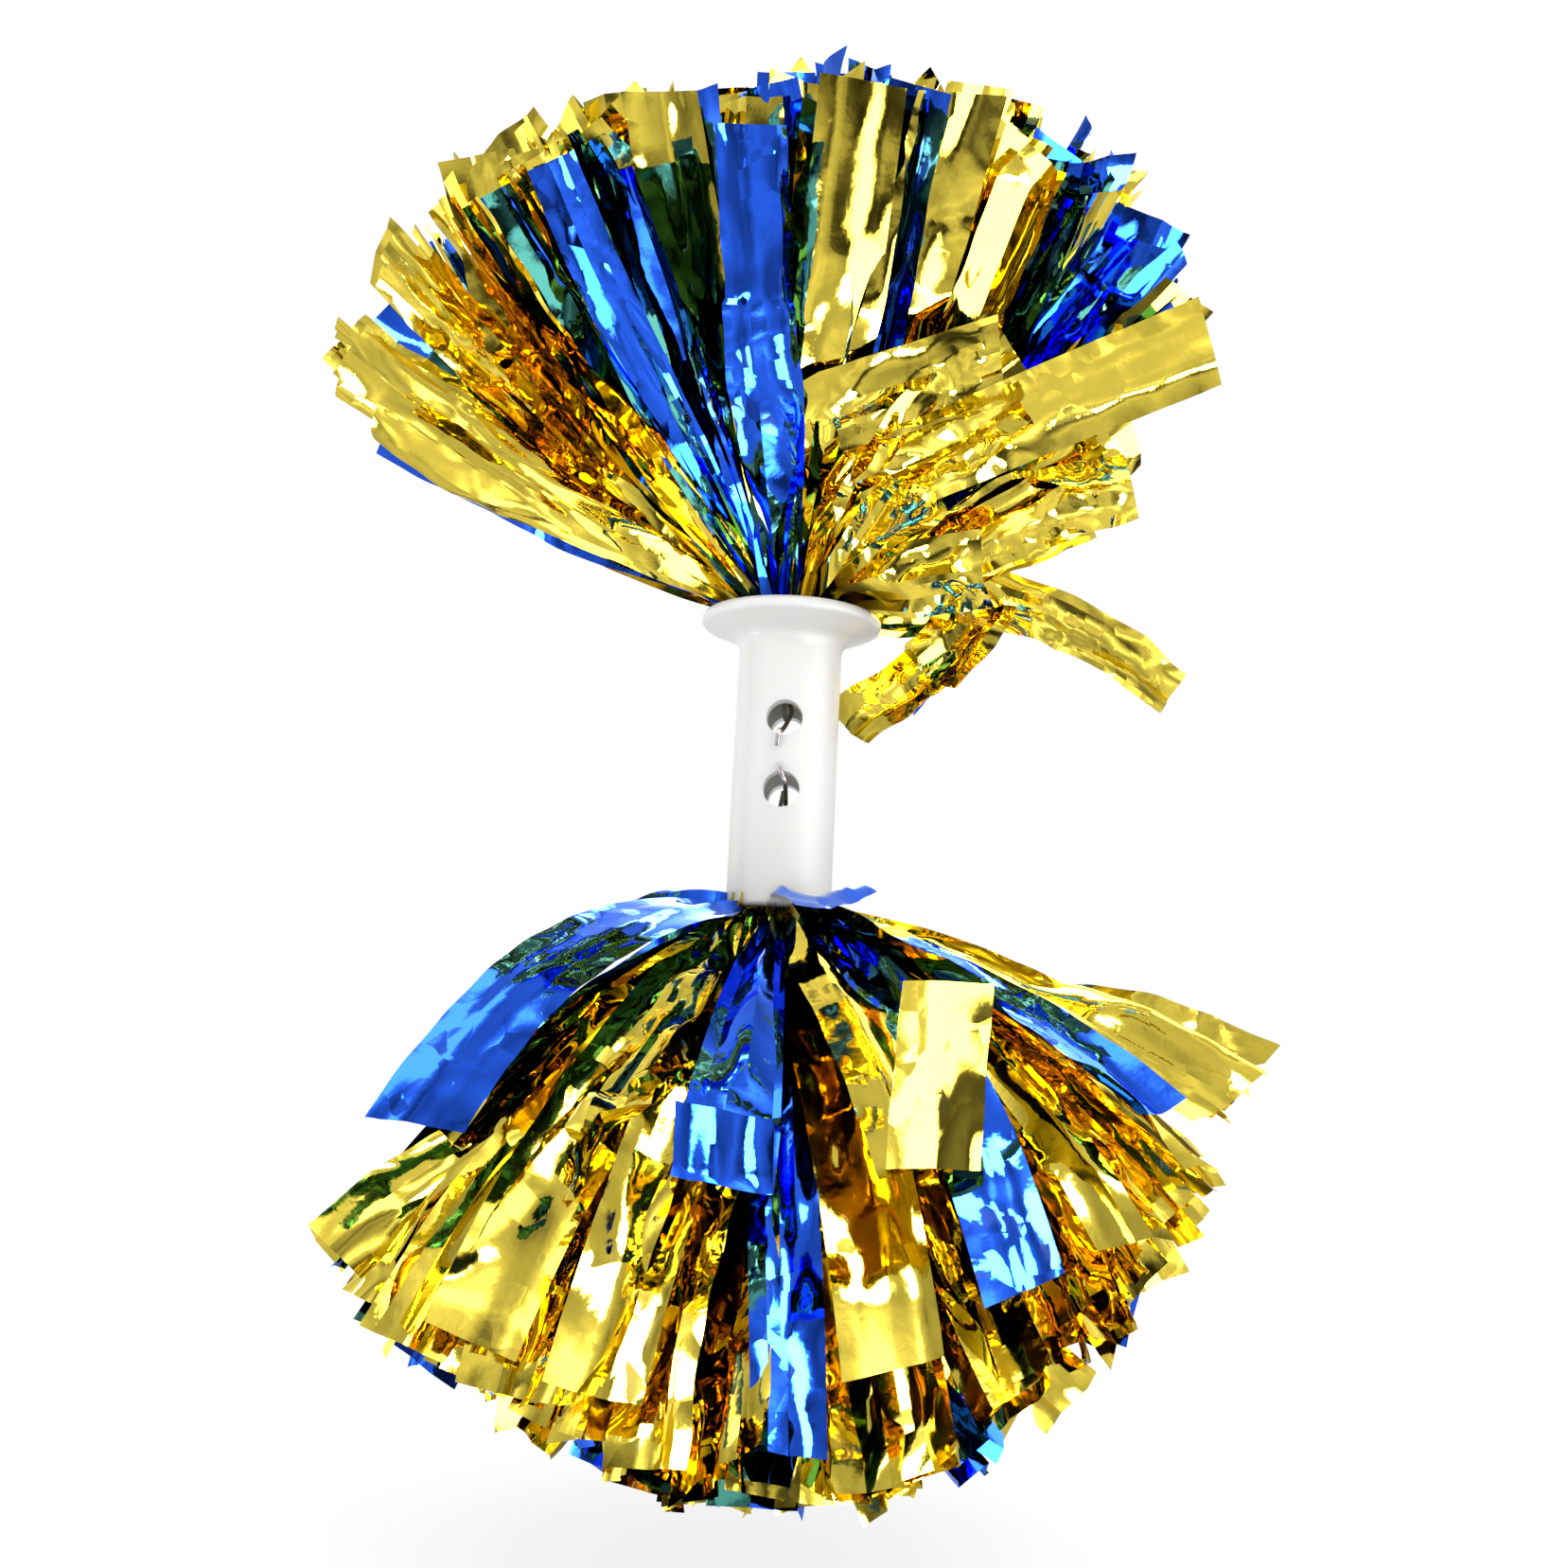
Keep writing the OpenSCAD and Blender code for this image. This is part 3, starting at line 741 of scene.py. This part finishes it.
def pleated_plug(inner_z, outer_z, radius, seed):
    """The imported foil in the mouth: a closed, pleated plug, rounded at its inner end."""
    rng = np.random.default_rng(seed)
    around, levels = 132, 26
    angles = np.linspace(0, 2 * math.pi, around, endpoint=False)
    teeth = np.where(np.arange(around) % 2 == 0, 1.0, -1.0) * rng.uniform(0.25, 1.0, around)
    rows = []
    for share in np.linspace(0, 1, levels):
        shrink = 1.0
        if share < 0.35:
            shrink = math.sqrt(max(0.02, 1 - ((0.35 - share) / 0.35) ** 2 * 0.9))
        if share > 0.9:
            shrink = 1 - 0.35 * (share - 0.9) / 0.1
        depth = 0.55 * teeth * (0.8 + 0.2 * math.sin(9 * share))
        radii = (radius - 0.75 + depth) * shrink
        turned = angles + 0.12 * math.sin(5 * share)
        z = inner_z + (outer_z - inner_z) * share
        rows.append(np.stack(
            [radii * np.cos(turned), radii * np.sin(turned), np.full(around, z)], 1))
    tips = np.array([[0, 0, inner_z - 0.4], [0, 0, outer_z + 0.2]])
    i, j = np.meshgrid(np.arange(levels - 1), np.arange(around), indexing="ij")
    here = (i * around + j).ravel()
    beside = (i * around + (j + 1) % around).ravel()
    faces = np.stack([here, beside, beside + around, here + around], 1).tolist()
    inner_tip = levels * around
    last_row = inner_tip - around
    for j in range(around):
        following = (j + 1) % around
        faces.append([inner_tip, following, j])
        faces.append([inner_tip + 1, last_row + j, last_row + following])
    return np.concatenate(rows + [tips]), faces


for end, seed in (("upper", 61), ("lower", 62)):
    plug = pleated_plug(inner_z=HALF - 20.0, outer_z=HALF + 1.6, radius=8.4, seed=seed)
    ob = add_foil(f"{end}_bundle_root", [plug], "gold", flip=end == "lower", sharp=26.0)
    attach(ob, "handle")


# ---------------------------------------------------------------- tie wires

WIRE_RADIUS = 0.6
LOOP_RADIUS = 5.9
LOOP_Z = HALF - 15.5                      # height of the loop's centre
LOOP_SIDEWAYS = 0.35                      # each end of the loop stands this far off in X


def tube(points, sub=8):
    """Round wire through smoothly joined points, with pointed caps; sub steps per span."""
    corners = 10
    points = [np.array(point, float) for point in points]
    path = []
    for i in range(len(points) - 1):
        p0 = points[max(0, i - 1)]
        p1, p2 = points[i], points[i + 1]
        p3 = points[min(len(points) - 1, i + 2)]
        for k in range(sub):
            t = k / sub
            path.append(0.5 * ((2 * p1) + (p2 - p0) * t
                               + (2 * p0 - 5 * p1 + 4 * p2 - p3) * t * t
                               + (3 * p1 - p0 - 3 * p2 + p3) * t ** 3))
    path.append(points[-1])
    path = np.array(path)
    tangents = np.gradient(path, axis=0)
    tangents /= np.linalg.norm(tangents, axis=1)[:, None]
    side = np.cross(tangents[0], np.array([0.3, 0.2, 1.0]))
    side /= np.linalg.norm(side)
    vertices, faces = [], []
    for centre, tangent in zip(path, tangents):
        side = side - tangent * (side @ tangent)
        side /= np.linalg.norm(side)
        other = np.cross(tangent, side)
        for k in range(corners):
            angle = 2 * math.pi * k / corners
            vertices.append(
                centre + WIRE_RADIUS * (math.cos(angle) * side + math.sin(angle) * other))
    for i in range(len(path) - 1):
        for k in range(corners):
            a, b = i * corners + k, i * corners + (k + 1) % corners
            faces.append([a, b, b + corners, a + corners])
    vertices.append(path[0] - tangents[0] * WIRE_RADIUS * 0.35)
    vertices.append(path[-1] + tangents[-1] * WIRE_RADIUS * 0.35)
    cap = len(path) * corners
    last_ring = cap - corners
    for k in range(corners):
        following = (k + 1) % corners
        faces.append([cap, following, k])
        faces.append([cap + 1, last_ring + k, last_ring + following])
    return vertices, faces


def loop_points(outward):
    """One turn of wire in an upright loop facing X; outward is 1 at the upper end, else -1."""
    spans = 26
    points = []
    for i in range(spans + 1):
        angle = -math.pi / 2 + 2 * math.pi * i / spans
        points.append((LOOP_SIDEWAYS * (i / spans - 0.5) * 2, LOOP_RADIUS * math.cos(angle),
                       outward * (LOOP_Z + LOOP_RADIUS * math.sin(angle))))
    return points


# The two tails that run inwards from each loop: x, y, z in mm
TAILS = {
    "upper": [
        [(-0.35, 0.3, HALF - 21.2), (0.5, -0.4, HALF - 22.6), (0.9, -1.5, HALF - 25),
         (1.4, -5.0, 12.4), (0.2, -8.2, 8.6), (-0.7, -12.4, 6.1), (-1.1, -15.0, 5.6),
         (-1.5, -15.25, 1.7)],
        [(0.35, -0.3, HALF - 21.3), (-0.5, 0.4, HALF - 22.8), (-1.0, 0.8, HALF - 25.2),
         (-0.4, 1.6, 11.6)],
    ],
    "lower": [
        [(-0.35, 0.3, -HALF + 21.2), (0.4, -0.6, -HALF + 22.8), (0.9, -2.2, -HALF + 25.7),
         (0.95, -9.5, -8.9), (0.9, -14.5, -7.6), (0.2, -15.35, -6.2), (-1.0, -15.35, -2.9)],
        [(0.35, -0.3, -HALF + 21.3), (-0.6, 0.5, -HALF + 22.8), (-1.1, 1.0, -HALF + 25),
         (-0.2, 3.0, -7.6)],
    ],
}
for end, tails in TAILS.items():
    loop = tube(loop_points(1.0 if end == "upper" else -1.0), sub=3)
    wire = [loop] + [tube(tail) for tail in tails]
    ob = mesh_object(f"wire_{end}_tie", wire, STEEL, sharp=50)
    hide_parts(f"{end}_tie_wire")
    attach(ob, "handle")

# ---------------------------------------------------------------- handle

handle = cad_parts["handle"]
handle.data.materials.clear()
handle.data.materials.append(PLASTIC)


# ---------------------------------------------------------------- floor

def add_floor():
    """A large pale floor with a glow of its own, left out of the foil's reflections."""
    half = 14.0
    mesh = bpy.data.meshes.new("floor")
    corners = [(-half, -half), (half, -half), (half, half), (-half, half)]
    mesh.from_pydata([(x, y, FLOOR_Z) for x, y in corners], [], [(0, 1, 2, 3)])
    ob = bpy.data.objects.new("floor", mesh)
    bpy.context.scene.collection.objects.link(ob)
    material, tree = new_material("floor")
    diffuse = add_node(tree, "BsdfDiffuse", {"Color": (0.38, 0.38, 0.38, 1)})
    seen = add_node(tree, "LightPath").outputs["Is Camera Ray"]
    # the glow is a touch stronger where the camera sees it directly
    strength = map_range(tree, seen, target=(0.78, 0.80))
    glow = add_node(tree, "Emission", {"Color": (1, 1, 1, 1), "Strength": strength})
    both = add_node(tree, "AddShader", {0: diffuse.outputs[0], 1: glow.outputs[0]})
    add_node(tree, "OutputMaterial", {"Surface": both.outputs[0]})
    mesh.materials.append(material)
    ob.visible_glossy = False


add_floor()


# ---------------------------------------------------------------- world

# Brightness the foil mirrors, against the uneven field over the directions
STUDIO_CURVE = [(0.0, 0.015), (0.36, 0.035), (0.42, 0.10), (0.47, 0.14), (0.52, 0.18),
                (0.57, 0.24), (0.62, 0.40), (0.66, 0.70), (0.70, 0.97), (1.0, 1.0)]
STUDIO_GAIN = 4.0
# Lamps seen only in the foil: direction, inner and outer half angle in degrees, brightness
LAMPS = [
    ((-0.60, -0.50, 0.62), 9, 11, 26.0), ((0.86, -0.34, 0.36), 6, 8, 20.0),
    ((0.15, -0.45, 0.88), 8, 10, 20.0), ((-0.90, -0.42, -0.05), 5, 7, 18.0),
    ((0.75, -0.56, -0.36), 22, 28, 8.0), ((-0.35, -0.80, -0.48), 5, 7, 20.0),
    ((0.40, -0.55, -0.73), 6, 8, 22.0), ((-0.75, -0.10, -0.62), 6, 8, 18.0),
    ((0.93, 0.05, -0.35), 5, 7, 16.0), ((0.05, 0.55, 0.83), 7, 9, 14.0),
]


def add_world():
    """Foil mirrors an uneven studio, the camera sees white, the rest gets soft light."""
    world = bpy.data.worlds.new("studio")
    bpy.context.scene.world = world
    world.use_nodes = True
    tree = world.node_tree
    tree.nodes.clear()

    def calc(operation, first, second):
        return add_node(tree, "Math", {0: first, 1: second}, operation=operation).outputs[0]

    def dot(vector):
        return vector_math(tree, "DOT_PRODUCT", {0: direction, 1: vector})["Value"]

    def lamp(towards, inner, outer, brightness):
        return map_range(
            tree, dot(Vector(towards).normalized()),
            source=(math.cos(math.radians(outer)), math.cos(math.radians(inner))),
            target=(0.0, brightness), interpolation_type="SMOOTHSTEP")

    place = add_node(tree, "TexCoord").outputs["Generated"]
    direction = vector_math(tree, "NORMALIZE", {0: place})[0]
    axes = add_node(tree, "SeparateXYZ", {0: direction}).outputs

    # what the foil mirrors: a white studio broken up by lamps, cards and dark gaps
    uneven = add_node(tree, "TexNoise", {
        "Vector": direction, "Scale": 1.6, "Detail": 1.8, "Roughness": 0.45,
        "Distortion": 0.35}).outputs["Fac"]
    side_bias = dot((-0.03, 0.035, 0.01))
    pole_bias = calc("MULTIPLY", calc("MULTIPLY", axes["Z"], axes["Z"]), 0.095)
    lift = 0.004
    field = calc("ADD", calc("ADD", uneven, side_bias), calc("ADD", pole_bias, lift))
    curve = add_node(tree, "FloatCurve", {"Value": field})
    line = curve.mapping.curves[0]
    line.points[0].location = STUDIO_CURVE[0]
    line.points[1].location = STUDIO_CURVE[-1]
    for point in STUDIO_CURVE[1:-1]:
        line.points.new(*point)
    curve.mapping.update()
    mirrored = calc("MULTIPLY", curve.outputs["Value"], STUDIO_GAIN)
    for spec in LAMPS:
        mirrored = calc("ADD", mirrored, lamp(*spec))

    # soft light on the plastic and the floor, stronger from the front
    soft = map_range(tree, axes["Y"], source=(-1.0, 1.0), target=(0.95, 0.55))
    rays = add_node(tree, "LightPath").outputs
    glossy, camera = rays["Is Glossy Ray"], rays["Is Camera Ray"]
    light = calc("ADD", calc("MULTIPLY", mirrored, glossy),
                 calc("MULTIPLY", soft, calc("SUBTRACT", 1.0, glossy)))
    white = 1.0
    strength = calc("ADD", calc("MULTIPLY", light, calc("SUBTRACT", 1.0, camera)),
                    calc("MULTIPLY", camera, white))
    background = add_node(tree, "Background", {"Color": (1, 1, 1, 1), "Strength": strength})
    add_node(tree, "OutputWorld", {"Surface": background.outputs[0]})


add_world()


# ---------------------------------------------------------------- lights, camera, render

def add_area_light(name, location, size, power):
    """A rectangular lamp aimed at the origin, not mirrored in the foil."""
    light = bpy.data.lights.new(name, "AREA")
    light.shape = "RECTANGLE"
    light.size, light.size_y = size
    light.energy = power
    ob = bpy.data.objects.new(name, light)
    bpy.context.scene.collection.objects.link(ob)
    ob.location = location
    ob.rotation_euler = (-Vector(location)).to_track_quat("-Z", "Y").to_euler()
    ob.visible_glossy = False


def add_camera():
    camera = bpy.data.cameras.new("camera")
    camera.sensor_width = 36.0
    camera.lens = LENS
    camera.clip_start = 0.01
    ob = bpy.data.objects.new("camera", camera)
    bpy.context.scene.collection.objects.link(ob)
    pose = Matrix((VIEW_RIGHT, VIEW_UP, TO_CAMERA)).transposed().to_4x4()
    pose.translation = EYE
    ob.matrix_world = pose
    bpy.context.scene.camera = ob


add_area_light("key", location=(0.5, -0.9, 0.9), size=(0.8, 0.8), power=4.0)
add_area_light("fill", location=(0.9, -0.7, 0.2), size=(0.6, 0.9), power=1.0)
add_camera()

scene = bpy.context.scene
scene.view_settings.view_transform = "Standard"
scene.view_settings.look = "None"
scene.cycles.max_bounces = 14
scene.cycles.glossy_bounces = 6
scene.cycles.diffuse_bounces = 4
scene.cycles.transmission_bounces = 4
scene.cycles.sample_clamp_indirect = 40.0
scene.cycles.caustics_reflective = False
scene.cycles.blur_glossy = 0.3
scene.cycles.use_denoising = True
